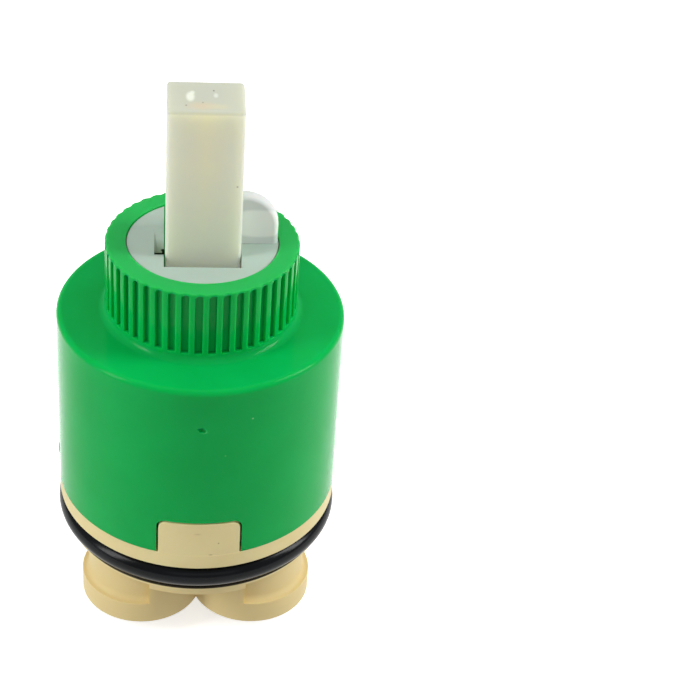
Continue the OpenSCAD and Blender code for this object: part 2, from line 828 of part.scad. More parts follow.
module lever() {
  color("#d2cfb4") difference() {
    union() {
      lever_bar();
      translate([-foot_w / 2, -shank_depth / 2, foot_z]) cube([foot_w, shank_depth, pivot_z - foot_z]);
      translate([-foot_w / 2, 0, foot_z]) rotate([0, 90, 0]) cylinder(r = foot_r, h = foot_w);
    }
    translate([-lever_w, 0, pivot_z]) rotate([0, 90, 0]) cylinder(r = pin_r + pin_gap, h = 2 * lever_w);
  }
}

housing();
base();
body_o_ring();
inlet_seal_left();
inlet_seal_right();
disc_seal_left();
disc_seal_right();
disc_seal_outlet();
fixed_disc();
moving_disc();
carrier_seal();
disc_carrier();
rotary_guide();
thrust_ring();
lever_pin();
lever();
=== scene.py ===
import math

import bmesh
import bpy
from mathutils import Matrix, Vector


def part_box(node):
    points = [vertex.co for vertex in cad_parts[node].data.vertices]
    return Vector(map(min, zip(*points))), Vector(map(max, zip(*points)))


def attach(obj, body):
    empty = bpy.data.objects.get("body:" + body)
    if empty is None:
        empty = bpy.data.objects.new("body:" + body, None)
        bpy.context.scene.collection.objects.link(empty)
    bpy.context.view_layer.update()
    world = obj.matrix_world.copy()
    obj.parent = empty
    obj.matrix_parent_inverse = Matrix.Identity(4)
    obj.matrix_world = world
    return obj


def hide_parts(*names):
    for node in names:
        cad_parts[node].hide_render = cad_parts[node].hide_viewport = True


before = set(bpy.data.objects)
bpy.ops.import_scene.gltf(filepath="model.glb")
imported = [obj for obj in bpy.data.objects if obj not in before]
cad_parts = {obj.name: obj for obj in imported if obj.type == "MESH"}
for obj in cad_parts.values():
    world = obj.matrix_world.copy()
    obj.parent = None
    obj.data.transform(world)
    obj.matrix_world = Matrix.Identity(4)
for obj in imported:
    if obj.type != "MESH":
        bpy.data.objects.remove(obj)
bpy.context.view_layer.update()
print("frame loaded:", len(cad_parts), "nodes")

mm = 0.001  # the pieces are drawn in millimetres and scaled once at the end
past = 1.0  # how far a cutting shape stands past what it cuts
bite = 0.5  # how far a joined shape reaches into its neighbour
skin = 0.02  # keeps faces apart that would otherwise coincide
through = 30.0  # more than half the part's width, for cuts from side to side
weld = 0.0005  # vertices closer than this become one
arcSteps = 5  # fewest steps of a rounded corner, and steps per millimetre of a wide one
crispAngle = 32  # degrees; edges sharper than this are shaded as edges
pivotHeight = 50.0  # middle of the lever's pin


def boxMm(node):
    low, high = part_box(node)
    return low / mm, high / mm


housingLow, housingHigh = boxMm("housing")
baseLow, baseHigh = boxMm("base")
guideLow, guideHigh = boxMm("rotary_guide")
leverLow, leverHigh = boxMm("lever")


# Modelling helpers

def cleaned(bm):
    bmesh.ops.remove_doubles(bm, verts=bm.verts[:], dist=weld)
    bmesh.ops.dissolve_degenerate(bm, dist=weld, edges=bm.edges[:])
    bmesh.ops.recalc_face_normals(bm, faces=bm.faces[:])
    return bm


def shifted(bm, vec):
    bmesh.ops.translate(bm, vec=vec, verts=bm.verts[:])
    return bm


def moved(bm, matrix):
    bmesh.ops.transform(bm, matrix=matrix, verts=bm.verts[:])
    return bm


def drawOutline(bm, corners, closed=True):
    # corners are (x, z, rounding) in the X-Z plane
    verts = [bm.verts.new((x, 0, z)) for x, z, rounding in corners]
    for start, end in zip(verts, verts[1:]):
        bm.edges.new((start, end))
    if closed:
        bm.edges.new((verts[-1], verts[0]))
    for vert, (x, z, rounding) in zip(verts, corners):
        if rounding:
            segments = max(arcSteps, round(arcSteps * rounding))
            bmesh.ops.bevel(bm, geom=[vert], offset=rounding, segments=segments, profile=0.5,
                            affect="VERTICES", material=-1)


def extruded(bm, faces, vec=(0, 0, 0), keepBase=True):
    # moves the new faces by vec and hands back their vertices
    grown = bmesh.ops.extrude_face_region(bm, geom=faces, use_keep_orig=keepBase)["geom"]
    verts = [item for item in grown if isinstance(item, bmesh.types.BMVert)]
    bmesh.ops.translate(bm, vec=vec, verts=verts)
    if not keepBase:
        spare = [face for face in faces if face.is_valid]
        bmesh.ops.delete(bm, geom=spare, context="FACES_ONLY")
    return verts


def spun(bm, steps):
    bmesh.ops.spin(bm, geom=bm.verts[:] + bm.edges[:], cent=(0, 0, 0), axis=(0, 0, 1),
                   angle=2 * math.pi, steps=steps, use_merge=True, use_duplicate=False)
    return bm


def turned(corners, steps, at=(0, 0)):
    # solid of revolution; a profile that starts and ends on the axis is left open there
    bm = bmesh.new()
    drawOutline(bm, corners, closed=corners[0][0] != 0)
    return cleaned(shifted(spun(bm, steps), (*at, 0)))


def rod(radius, low, high, steps, at=(0, 0)):
    return turned([(0, low, 0), (radius, low, 0), (radius, high, 0), (0, high, 0)], steps, at)


def crossRod(radius, half, height, steps):
    # lies along X, half its length to each side
    turn = Matrix.Translation((0, 0, height)) @ Matrix.Rotation(math.pi / 2, 4, "Y")
    return moved(rod(radius, -half, half, steps), turn)


def tube(inner, outer, low, high, steps, at=(0, 0)):
    return turned([(inner, low, 0), (outer, low, 0), (outer, high, 0), (inner, high, 0)], steps, at)


def prism(corners, depth):
    # outline in the X-Z plane, given its depth along Y, centred
    bm = bmesh.new()
    drawOutline(bm, corners)
    faces = bmesh.ops.contextual_create(bm, geom=bm.edges[:])["faces"]
    extruded(bm, faces, (0, depth, 0))
    return cleaned(shifted(bm, (0, -depth / 2, 0)))


def block(low, high):
    bm = bmesh.new()
    bmesh.ops.create_cube(bm, size=1)
    size = Vector(high) - Vector(low)
    bmesh.ops.scale(bm, vec=size, verts=bm.verts[:])
    return shifted(bm, Vector(low) + size / 2)


def ball(radius, centre, stretch=(1, 1, 1)):
    bm = bmesh.new()
    bmesh.ops.create_uvsphere(bm, u_segments=24, v_segments=16, radius=radius)
    bmesh.ops.scale(bm, vec=stretch, verts=bm.verts[:])
    return shifted(bm, centre)


def mirrored(bm):
    twin = bm.copy()
    bmesh.ops.scale(twin, vec=(-1, 1, 1), verts=twin.verts[:])
    bmesh.ops.recalc_face_normals(twin, faces=twin.faces[:])
    return twin


def sliced(bm, point, normal):
    # keeps what lies against the normal, and closes the cut
    geom = bm.verts[:] + bm.edges[:] + bm.faces[:]
    bmesh.ops.bisect_plane(bm, geom=geom, plane_co=point, plane_no=normal, clear_outer=True)
    rim = [edge for edge in bm.edges if edge.is_boundary]
    bmesh.ops.holes_fill(bm, edges=rim)
    return cleaned(bm)


def sector(bm, middle, half):
    # keeps half an angle to each side of a direction from the axis, in degrees
    for side in (-1, 1):
        turn = math.radians(middle + side * half)
        sliced(bm, (0, 0, 0), (-side * math.sin(turn), side * math.cos(turn), 0))
    return bm


def asObject(name, bm):
    mesh = bpy.data.meshes.new(name)
    bm.to_mesh(mesh)
    bm.free()
    piece = bpy.data.objects.new(name, mesh)
    bpy.context.scene.collection.objects.link(piece)
    return piece


def combined(bm, tool, operation):
    target, cutter = asObject("target", bm), asObject("cutter", tool)
    modifier = target.modifiers.new("combine", "BOOLEAN")
    modifier.operation = operation
    modifier.solver = "EXACT"
    modifier.object = cutter
    result = bmesh.new()
    result.from_object(target, bpy.context.evaluated_depsgraph_get())
    for used in (target, cutter):
        bpy.data.meshes.remove(used.data)
    return cleaned(result)


def joined(bm, *tools):
    for tool in tools:
        bm = combined(bm, tool, "UNION")
    return bm


def carved(bm, *tools):
    for tool in tools:
        bm = combined(bm, tool, "DIFFERENCE")
    return bm


def around(point, centre=(0, 0)):
    return math.hypot(point.x - centre[0], point.y - centre[1])


def near(value, wanted, reach=skin):
    return abs(value - wanted) < reach


def sharpEdges(bm, degrees, chosen):
    limit = math.radians(degrees)
    return [edge for edge in bm.edges if len(edge.link_faces) == 2 and edge.calc_face_angle(0) > limit
            and all(chosen(vert.co) for vert in edge.verts)]


def rounded(bm, edges, width, segments):
    bmesh.ops.bevel(bm, geom=edges, offset=width, offset_type="OFFSET", segments=segments, profile=0.5,
                    affect="EDGES", material=-1)
    return bm


def softened(bm, width, chosen, degrees=40, segments=2):
    return rounded(bm, sharpEdges(bm, degrees, chosen), width, segments)


def finished(name, bm, material, body, node):
    cleaned(bm)
    for face in bm.faces:
        face.smooth = True
    for edge in sharpEdges(bm, crispAngle, lambda point: True):
        edge.smooth = False
    bmesh.ops.scale(bm, vec=(mm, mm, mm), verts=bm.verts[:])
    piece = asObject(name, bm)
    piece.data.materials.append(material)
    shading = piece.modifiers.new("evenShading", "WEIGHTED_NORMAL")
    shading.keep_sharp = True
    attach(piece, body)
    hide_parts(node)
    print("piece made:", name, len(piece.data.polygons), "faces")


# Materials, on Object coordinates in metres

cloudRange = (0.35, 0.65)  # noise values at which broad clouds start and end
grainRange = (0.3, 0.7)  # the same for fine grain
grainHeight = 0.02


class Nodes:
    def __init__(self, name):
        self.material = bpy.data.materials.new(name)
        self.material.use_nodes = True
        self.tree = self.material.node_tree
        self.shader = self.tree.nodes["Principled BSDF"]
        self.place = self.add("ShaderNodeTexCoord").outputs["Object"]

    def add(self, kind, **settings):
        node = self.tree.nodes.new(kind)
        for key, value in settings.items():
            setattr(node, key, value)
        return node

    def link(self, output, socket):
        self.tree.links.new(output, socket)

    def put(self, sockets):
        for key, value in sockets.items():
            self.shader.inputs[key].default_value = value

    def axis(self, letter):
        split = self.add("ShaderNodeSeparateXYZ")
        self.link(self.place, split.inputs["Vector"])
        return split.outputs[letter]

    def noise(self, scale, detail=2, stretch=(1, 1, 1)):
        mapping = self.add("ShaderNodeMapping")
        mapping.inputs["Scale"].default_value = stretch
        self.link(self.place, mapping.inputs["Vector"])
        node = self.add("ShaderNodeTexNoise")
        node.inputs["Scale"].default_value = scale
        node.inputs["Detail"].default_value = detail
        self.link(mapping.outputs["Vector"], node.inputs["Vector"])
        return node.outputs["Fac"]

    def ramp(self, value, low, high, lowTo=0, highTo=1):
        node = self.add("ShaderNodeMapRange")
        for key, number in zip(("From Min", "From Max", "To Min", "To Max"), (low, high, lowTo, highTo)):
            node.inputs[key].default_value = number
        self.link(value, node.inputs["Value"])
        return node.outputs["Result"]

    def fade(self, value, start, end):
        return self.ramp(value, start * mm, end * mm)

    def mix(self, factor, first, second):
        node = self.add("ShaderNodeMix", data_type="RGBA")
        for socket, colour in ((node.inputs["A"], first), (node.inputs["B"], second)):
            if isinstance(colour, tuple):
                socket.default_value = (*colour, 1)
            else:
                self.link(colour, socket)
        self.link(factor, node.inputs["Factor"])
        return node.outputs["Result"]

    def spot(self, at, radius, soft, stretch):
        # 1 inside the spot, fading to 0 over its soft edge; all in millimetres
        offset = self.add("ShaderNodeVectorMath", operation="SUBTRACT")
        offset.inputs[1].default_value = [value * mm for value in at]
        self.link(self.place, offset.inputs[0])
        scaled = self.add("ShaderNodeVectorMath", operation="DIVIDE")
        scaled.inputs[1].default_value = stretch
        self.link(offset.outputs["Vector"], scaled.inputs[0])
        length = self.add("ShaderNodeVectorMath", operation="LENGTH")
        self.link(scaled.outputs["Vector"], length.inputs[0])
        return self.ramp(length.outputs["Value"], radius * mm, (radius + soft) * mm, 1, 0)

    def marked(self, colour, marks):
        # a mark is (place, radius, soft edge, stretch, strength, tint)
        for at, radius, soft, stretch, strength, tint in marks:
            mask = self.spot(at, radius, soft, stretch)
            colour = self.mix(self.ramp(mask, 0, 1, 0, strength), colour, tint)
        return colour

    def bump(self, height, relief, strength=0.05):
        node = self.add("ShaderNodeBump")
        node.inputs["Strength"].default_value = strength
        node.inputs["Distance"].default_value = relief * mm
        self.link(height, node.inputs["Height"])
        self.link(node.outputs["Normal"], self.shader.inputs["Normal"])

    def surface(self, colour, grain, finish):
        self.link(colour, self.shader.inputs["Base Color"])
        self.link(self.ramp(grain, *grainRange, *finish["gloss"]), self.shader.inputs["Roughness"])
        self.put(finish.get("sockets", {}))
        print("finish made:", self.material.name)
        return self.material


def moulded(name, finish, datum=0):
    # a fade is (colour, start, end): heights over the datum between which the finish turns to it
    nodes = Nodes(name)
    clouds = nodes.ramp(nodes.noise(finish["clouds"], 3), *cloudRange)
    colour = nodes.mix(clouds, finish["colour"], finish["deep"])
    for key, start, end in finish.get("fades", ()):
        colour = nodes.mix(nodes.fade(nodes.axis("Z"), datum + start, datum + end), colour, finish[key])
    colour = nodes.marked(colour, finish.get("marks", ()))
    grain = nodes.noise(finish["grain"])
    nodes.bump(grain, grainHeight)
    return nodes.surface(colour, grain, finish)


# Housing: turned shell, flutes pressed into the neck, two lock windows

housingShape = {
    "wall": 2.0, "roof": 2.5, "shoulderRise": 28.5, "shoulderRound": 0.8, "footRound": 0.12,
    "neckRadius": 13.25, "neckBore": 10.4, "rootFillet": 1.1, "rimRound": 0.2, "boreRound": 0.2,
    "flutes": 45, "stepsPerFlute": 9, "fluteSteps": 5, "fluteDepth": 0.62, "fluteFoot": 1.25,
    "fluteHead": 0.25, "fluteArch": 0.45, "fluteRound": 0.09, "rimScallop": 0.18, "rimZone": 0.24,
    "dimpleRadius": 0.42, "dimpleDrop": 6.3, "dimpleSink": 0.05,
    "dimples": ((1.0, 0, 0), (0.7, 0.34, -0.16), (0.5, -0.40, 0.14)),  # share of the radius, x, z
    "pipRise": 3.7, "pipY": -0.6, "pipHalf": 1.0, "pipStretch": (0.13, 0.5, 1), "windowRound": 0.12,
    "stopInner": 15.8, "stopAngle": 8, "stopsAt": 64.5, "stopDrop": 3.43, "stopBite": 0.3,
}
lockTab = {
    "width": 11.3, "rise": 5.6, "corner": 1.2, "gap": 0.24, "round": 0.14, "inset": 0.2,
    "reach": 0.03,  # how far off the barrel's face an edge may lie and still be rounded
}
greenFinish = {
    # top is a painted sheen: the fade draws the rim's top in this paler, greyer green
    "colour": (0.002, 0.415, 0.080), "deep": (0.002, 0.380, 0.071), "top": (0.022, 0.41, 0.087),
    "fades": (("top", -0.25, -0.05),), "gloss": (0.10, 0.17), "grain": 5200, "clouds": 90,
    "sockets": {"Specular IOR Level": 0.06, "Subsurface Weight": 0.9,
                "Subsurface Radius": (0.15, 1.0, 0.35), "Subsurface Scale": 0.0016},
    "marks": (  # pale specks, and a painted highlight on the lower right rim of the gate dimple
        ((6.78, -18.81, 43.87), 0.05, 0.12, (1, 1, 1), 0.7, (0.25, 0.62, 0.30)),
        ((3.26, -19.73, 38.17), 0.04, 0.10, (1, 1, 1), 0.5, (0.15, 0.50, 0.20)),
        ((0.50, -20.0, 42.35), 0.05, 0.25, (1.4, 1, 0.8), 0.5, (0.10, 0.55, 0.20)),
    ),
}
greenPlastic = moulded("green_moulding", greenFinish, housingHigh.z)


def pressFlutes(bm, neck, floor, head):
    # the neck's faces from floor to head become ribs and flutes with arched ends
    shape = housingShape
    perFlute, reach = shape["stepsPerFlute"], shape["fluteSteps"] / 2
    step = 2 * math.pi / (shape["flutes"] * perFlute)
    crown = head + shape["fluteArch"]
    moved(bm, Matrix.Rotation(-step / 2, 4, "Z"))

    def offset(point):
        # in steps from the middle of the nearest flute; one flute lies opposite the ear
        turn = math.atan2(-point.y, -point.x) / step
        return (turn + perFlute / 2) % perFlute - perFlute / 2

    def isFlute(face):
        middle = face.calc_center_median()
        inRow = floor < middle.z < crown and all(vert.co.z < crown + skin for vert in face.verts)
        return inRow and near(around(middle), neck) and abs(offset(middle)) < reach

    for vert in bm.verts:
        radius, side = around(vert.co), abs(offset(vert.co)) / reach
        arch = math.sqrt(max(0, 1 - side * side))
        if near(radius, neck) and near(vert.co.z, head):
            vert.co.z += shape["fluteArch"] * arch
        elif radius > neck - shape["rimZone"] and vert.co.z > crown:
            pull = 1 - shape["rimScallop"] * arch / radius
            vert.co.x *= pull
            vert.co.y *= pull
    inner = extruded(bm, [face for face in bm.faces if isFlute(face)], keepBase=False)
    pressed = 1 - shape["fluteDepth"] / neck
    bmesh.ops.scale(bm, vec=(pressed, pressed, 1), verts=inner)
    bmesh.ops.recalc_face_normals(bm, faces=bm.faces[:])
    return softened(bm, shape["fluteRound"],
                    lambda p: near(around(p), neck) and floor - skin < p.z < crown + skin, degrees=50)


def windowPrism(gap):
    # outline of both lock windows, or of the tabs in them
    half, low = lockTab["width"] / 2 + gap, housingLow.z - through
    top, corner = housingLow.z + lockTab["rise"] + gap, lockTab["corner"]
    return prism([(-half, low, 0), (half, low, 0), (half, top, corner), (-half, top, corner)], 2 * through)


def makeHousing():
    shape = housingShape
    outer, bottom, rim = housingHigh.x, housingLow.z, housingHigh.z
    shoulder, bore = bottom + shape["shoulderRise"], outer - shape["wall"]
    roof, neck = shoulder - shape["roof"], shape["neckRadius"]
    floor, head = shoulder + shape["fluteFoot"], rim - shape["fluteHead"] - shape["fluteArch"]
    bm = turned([
        (bore, bottom, 0), (outer, bottom, shape["footRound"]), (outer, shoulder, shape["shoulderRound"]),
        (neck, shoulder, shape["rootFillet"]), (neck, floor, 0), (neck, head, 0),
        (neck, rim, shape["rimRound"]), (shape["neckBore"], rim, shape["boreRound"]),
        (shape["neckBore"], roof, 0), (bore, roof, 0),
    ], steps=shape["flutes"] * shape["stepsPerFlute"])
    pressFlutes(bm, neck, floor, head)
    pit = shoulder - shape["dimpleDrop"]
    dimples = [ball(shape["dimpleRadius"] * share, (x, shape["dimpleSink"] - outer, pit + z))
               for share, x, z in shape["dimples"]]
    bm = carved(bm, windowPrism(lockTab["gap"]), *dimples)
    windowTop, reach = bottom + lockTab["rise"] + bite, lockTab["reach"]
    softened(bm, shape["windowRound"],
             lambda p: near(around(p), outer, reach) and p.z < windowTop and abs(p.x) < lockTab["width"])
    for side in (-1, 1):
        stop = tube(shape["stopInner"], bore + shape["stopBite"],
                    roof - shape["stopDrop"], roof + shape["stopBite"], steps=180)
        bm = joined(bm, sector(stop, 90 + side * shape["stopsAt"], shape["stopAngle"] / 2))
    pip = ball(shape["pipHalf"], (-outer, shape["pipY"], bottom + shape["pipRise"]), shape["pipStretch"])
    bm = joined(bm, pip)
    finished("housing_shell", bm, greenPlastic, "cartridge_body", "housing")


makeHousing()


# Base: turned plug with two ports, a pad, two hollow feet with pegs and two lock tabs

baseShape = {
    "seat": 3.0, "lipUnder": 12.9, "floor": 14.4, "grooveLow": 13.6, "grooveHigh": 18.0, "deck": 22.5,
    "lipRadius": 19.0, "lipFace": 2.2, "grooveRadius": 16.67, "plugRadius": 17.9,
    "edgeRound": 0.25, "innerRound": 0.2, "floorRound": 0.3, "flangeRound": 0.22, "flangeTopRound": 0.1,
    "padHalf": 6.85, "padStep": 0.8, "pocketRadius": 15.47, "pocketTop": 17.6, "web": 0.9, "webBite": 0.3,
    "portX": 8.0, "portY": -6.25, "portRadius": 8.7, "portBore": 4.55, "boreTop": 12.0, "seatRound": 0.3,
    "spigot": 5.5, "sealRadius": 7.4, "sealDepth": 2.6, "ringRound": 0.14, "nib": 0.45, "nibClear": 0.05,
    "collar": 3.65, "collarRound": 0.12, "collarEdge": 0.18, "collarFlare": 0.03,
    "scoop": 1.0, "scoopRound": 0.85, "inletX": 5.4, "inletY": -4.2, "inletRadius": 2.7,
    "outletY": 4.2, "outletRadius": 5.0, "outletTop": 17.4, "discOutletY": 4.8, "discOutletRadius": 3.9,
    "lipClear": 0.03, "grooveClear": 0.05, "padClear": 0.1,  # keep ports, feet and pad off the lip's faces
}
footShape = {
    "radius": 18.7, "front": 6.3, "inside": 4.7, "corner": 3.5, "outerCorner": 1.4, "wall": 1.3,
    "pocket": 6.0, "rim": 0.2, "pegX": 10.4, "pegY": 11.7, "pegRadius": 2.6, "pegRound": 0.4,
    "pegStep": 0.3, "bossRadius": 2.85, "bossRound": 0.15, "core": 1.2, "coreRound": 0.15,
    "coreStop": 0.5, "coreEndRound": 0.3, "ribInner": 2.25, "ribOuter": 5.4, "ribRise": 0.4, "ribTurn": -45,
}
beigeFinish = {
    # painted shade: the fade turns the lip and everything below it to the darker, oranger below colour
    "colour": (0.81, 0.69, 0.36), "deep": (0.77, 0.64, 0.32), "below": (0.75, 0.60, 0.29),
    "fades": (("below", -0.2, -1.2),), "gloss": (0.40, 0.50), "grain": 5200, "clouds": 110,
    "sockets": {"Specular IOR Level": 0.12, "Subsurface Weight": 0.25,
                "Subsurface Radius": (1.0, 0.55, 0.2), "Subsurface Scale": 0.0015},
    "marks": (
        ((2.72, -19.81, 22.62), 0.06, 0.10, (1, 1, 1), 0.6, (0.24, 0.18, 0.07)),  # specks on the front tab
        ((1.65, -19.93, 20.59), 0.08, 0.16, (1.6, 1, 0.8), 0.45, (0.32, 0.22, 0.10)),
        ((-0.2, -19.95, 24.4), 0.10, 0.25, (2, 1, 0.7), 0.25, (0.40, 0.28, 0.13)),
        ((0, 0, 13.6), 1.0, 0.40, (1000, 1000, 0.2), 0.97, (0.010, 0.009, 0.007)),  # painted shadow: a dark line on the lip just under the O-ring
        ((0, 0, 13.6), 18.2, 0.30, (1, 1, 0.06), 1, (0.75, 0.60, 0.29)),  # inside the lip the painted shadow gives way to the painted shade of the below colour
    ),
}
beigePlastic = moulded("beige_moulding", beigeFinish, baseShape["grooveLow"])


def underLip():
    # what ports and feet may fill: the lip's outline, and the groove's root above it
    shape = baseShape
    low, step, top = baseLow.z - past, shape["grooveLow"] - shape["grooveClear"], shape["floor"] + past
    lip, root = shape["lipRadius"] - shape["lipClear"], shape["grooveRadius"] - shape["grooveClear"]
    return turned([(0, low, 0), (lip, low, 0), (lip, step, 0), (root, step, 0), (root, top, 0), (0, top, 0)],
                  steps=180)


def makePort():
    # right port: scooped out above its collar, except beside the pad
    shape = baseShape
    at = (shape["portX"], shape["portY"])
    radius, seat, top = shape["portRadius"], shape["seat"], shape["floor"] + bite
    bm = turned([(0, seat, 0), (radius, seat, shape["seatRound"]), (radius, top, 0), (0, top, 0)], 144, at)
    inner, wide, over = radius - shape["scoop"], radius + past, top + past
    collarTop = seat + shape["collar"]
    edge = collarTop - shape["collarEdge"]
    scoop = turned([
        (inner, collarTop, shape["scoopRound"]), (radius, collarTop, shape["collarRound"]),
        (radius + shape["collarFlare"], edge, 0), (wide, edge, 0), (wide, over, 0), (inner, over, 0),
    ], 144, at)
    sliced(scoop, (shape["padHalf"], 0, 0), (-1, 0, 0))
    return combined(carved(bm, scoop), underLip(), "INTERSECT")


def makePad():
    shape = baseShape
    outer, inner = shape["lipRadius"] - shape["lipClear"], shape["lipRadius"] - shape["lipFace"]
    low, high = shape["lipUnder"] - shape["padStep"], shape["grooveLow"] - shape["padClear"]
    bm = turned([(inner, low, shape["innerRound"]), (outer, low, shape["edgeRound"]),
                 (outer, high, 0), (inner, high, 0)], steps=180)
    for side in (-1, 1):
        sliced(bm, (side * shape["padHalf"], 0, 0), (side, 0, 0))
    return sliced(bm, (0, 0, 0), (0, 1, 0))


def arc(bm, centre, radius, start, end, step):
    count = max(2, round(abs(end - start) / step))
    turns = [math.radians(start + (end - start) * i / count) for i in range(count + 1)]
    return [bm.verts.new((centre[0] + radius * math.cos(turn), centre[1] + radius * math.sin(turn), 0))
            for turn in turns]


def makeFoot():
    # left foot: two straight sides on an arc, hollow from below, with its peg and rib
    shape, seat, top = footShape, baseShape["seat"], baseShape["floor"] + bite
    bend = shape["outerCorner"]
    reach = shape["radius"] - bend
    back = (-shape["inside"] - bend, math.sqrt(reach ** 2 - (shape["inside"] + bend) ** 2))
    side = (-math.sqrt(reach ** 2 - (shape["front"] + bend) ** 2), shape["front"] + bend)
    inner = (-shape["inside"] - shape["corner"], shape["front"] + shape["corner"])
    backTurn, sideTurn = (math.degrees(math.atan2(y, x)) for x, y in (back, side))
    bm = bmesh.new()
    outline = arc(bm, inner, shape["corner"], -90, 0, step=5)
    outline += arc(bm, back, bend, 0, backTurn, step=12)
    outline += arc(bm, (0, 0), shape["radius"], backTurn, sideTurn, step=3)
    outline += arc(bm, side, bend, sideTurn, 270, step=12)
    sole = bm.faces.new(outline)
    shifted(bm, (0, 0, seat))
    extruded(bm, [sole], (0, 0, top - seat))
    softened(cleaned(bm), shape["rim"], lambda p: near(p.z, seat), degrees=60)
    sole = min(bm.faces, key=lambda face: face.calc_center_median().z)
    bmesh.ops.inset_region(bm, faces=[sole], thickness=shape["wall"] - shape["rim"], use_even_offset=True)
    extruded(bm, [sole], (0, 0, shape["pocket"]), keepBase=False)
    cleaned(bm)
    at = (-shape["pegX"], shape["pegY"])
    ceiling, tip = seat + shape["pocket"], baseLow.z
    step, coreTop = seat + shape["pegStep"], ceiling - shape["coreStop"]
    peg = turned([
        (0, ceiling + bite, 0), (shape["bossRadius"], ceiling + bite, 0),
        (shape["bossRadius"], step, shape["bossRound"]), (shape["pegRadius"], step, 0),
        (shape["pegRadius"], tip, shape["pegRound"]), (shape["core"], tip, shape["coreRound"]),
        (shape["core"], coreTop, shape["coreEndRound"]), (0, coreTop, 0),
    ], 72, at)
    web = baseShape["web"] / 2
    rib = block((shape["ribInner"], -web, seat + shape["ribRise"]), (shape["ribOuter"], web, ceiling + bite))
    moved(rib, Matrix.Translation((*at, 0)) @ Matrix.Rotation(math.radians(shape["ribTurn"]), 4, "Z"))
    return combined(joined(bm, rib, peg), underLip(), "INTERSECT")


def makeTabs():
    # both lock tabs: a tube cut to the windows' outline
    outer, inner = baseHigh.x - skin, baseShape["plugRadius"] + lockTab["inset"]
    bm = tube(inner, outer, housingLow.z - bite, baseHigh.z + past, steps=180)
    bm = combined(bm, windowPrism(0), "INTERSECT")
    return softened(bm, lockTab["round"], lambda p: near(around(p), outer) and p.z > housingLow.z)


def makeNibs():
    # four wedges round each port's bore, which hold its seal
    shape = baseShape
    size, root = shape["nib"], shape["spigot"] - shape["nib"]
    corners = [(root, size), (root, -size), (shape["spigot"] + size, 0)]
    bm = bmesh.new()
    for side in (-1, 1):
        at = Vector((side * shape["portX"], shape["portY"], shape["seat"] + shape["nibClear"]))
        for quarter in range(4):
            turn = Matrix.Rotation(quarter * math.pi / 2, 3, "Z")
            face = bm.faces.new([bm.verts.new(turn @ Vector((x, y, 0)) + at) for x, y in corners])
            extruded(bm, [face], (0, 0, size))
    return cleaned(bm)


def makePlug():
    # flange, groove and lip, with the pocket behind the pad
    shape = baseShape
    inner, outer = shape["lipRadius"] - shape["lipFace"], baseHigh.x
    slope, soft = shape["floor"] - shape["lipUnder"], shape["innerRound"]
    bm = turned([
        (0, shape["floor"], 0), (inner - slope, shape["floor"], shape["floorRound"]),
        (inner, shape["lipUnder"], soft), (shape["lipRadius"], shape["lipUnder"], shape["edgeRound"]),
        (shape["lipRadius"], shape["grooveLow"], soft), (shape["grooveRadius"], shape["grooveLow"], 0),
        (shape["grooveRadius"], shape["grooveHigh"], 0), (outer, shape["grooveHigh"], shape["flangeRound"]),
        (outer, housingLow.z, shape["flangeTopRound"]), (shape["plugRadius"], housingLow.z, 0),
        (shape["plugRadius"], shape["deck"], soft), (0, shape["deck"], 0),
    ], steps=240)
    pocket = rod(shape["pocketRadius"], shape["floor"] - past, shape["pocketTop"], steps=120)
    for side in (1, -1):
        sliced(pocket, (side * shape["padHalf"], 0, 0), (side, 0, 0))
    sliced(pocket, (0, shape["portY"], 0), (0, 1, 0))
    return carved(bm, pocket)


def makeWaterways():
    # port bores, seal grooves, inlets to the disc, and the outlet with its hole to the disc
    shape = baseShape
    low, high = shape["seat"] - past, shape["deck"] + past
    sealTop = shape["seat"] + shape["sealDepth"]
    cuts = []
    for side in (-1, 1):
        at = (side * shape["portX"], shape["portY"])
        cuts.append(rod(shape["portBore"], low, shape["boreTop"], 96, at))
        cuts.append(tube(shape["spigot"], shape["sealRadius"], low, sealTop, 96, at))
        cuts.append(rod(shape["inletRadius"], shape["boreTop"] - past, high, 64,
                        (side * shape["inletX"], shape["inletY"])))
    cuts.append(rod(shape["outletRadius"], low, shape["outletTop"], 96, (0, shape["outletY"])))
    cuts.append(rod(shape["discOutletRadius"], shape["floor"], high, 96, (0, shape["discOutletY"])))
    return cuts


def makeBase():
    shape = baseShape
    half, front = shape["web"] / 2, shape["lipRadius"] - shape["lipFace"] + shape["webBite"]
    webBar = block((-half, -front, shape["lipUnder"]),
                   (half, shape["portY"], shape["pocketTop"] + shape["webBite"]))
    port, foot = makePort(), makeFoot()
    bm = joined(makePlug(), makePad(), webBar, mirrored(port), port, mirrored(foot), foot, makeTabs())
    bm = carved(bm, *makeWaterways())

    def onSeatRing(point):
        at = (math.copysign(shape["portX"], point.x), shape["portY"])
        rings = (shape["portBore"], shape["spigot"], shape["sealRadius"])
        return near(point.z, shape["seat"]) and any(near(around(point, at), ring) for ring in rings)

    softened(bm, shape["ringRound"], onSeatRing, degrees=60)
    bm = joined(bm, makeNibs())
    finished("base_moulding", bm, beigePlastic, "cartridge_body", "base")


makeBase()


# Rubber: the body O-ring and the two flat inlet seals

sealShape = {"rebate": 0.48, "round": 0.18}
rubberFinish = {
    "colour": (0.004, 0.005, 0.006), "deep": (0.003, 0.0035, 0.004),
    "gloss": (0.16, 0.24), "grain": 4200, "clouds": 260, "sockets": {"Specular IOR Level": 0.12},
}
blackRubber = moulded("black_rubber", rubberFinish)


def makeORing():
    low, high = boxMm("body_o_ring")
    section = (high.z - low.z) / 2
    bm = bmesh.new()
    bmesh.ops.create_circle(bm, segments=40, radius=section)
    moved(bm, Matrix.Rotation(math.pi / 2, 4, "X"))
    shifted(bm, (high.x - section, 0, (low.z + high.z) / 2))
    spun(bm, steps=240)
    finished("body_o_ring_rubber", bm, blackRubber, "cartridge_body", "body_o_ring")


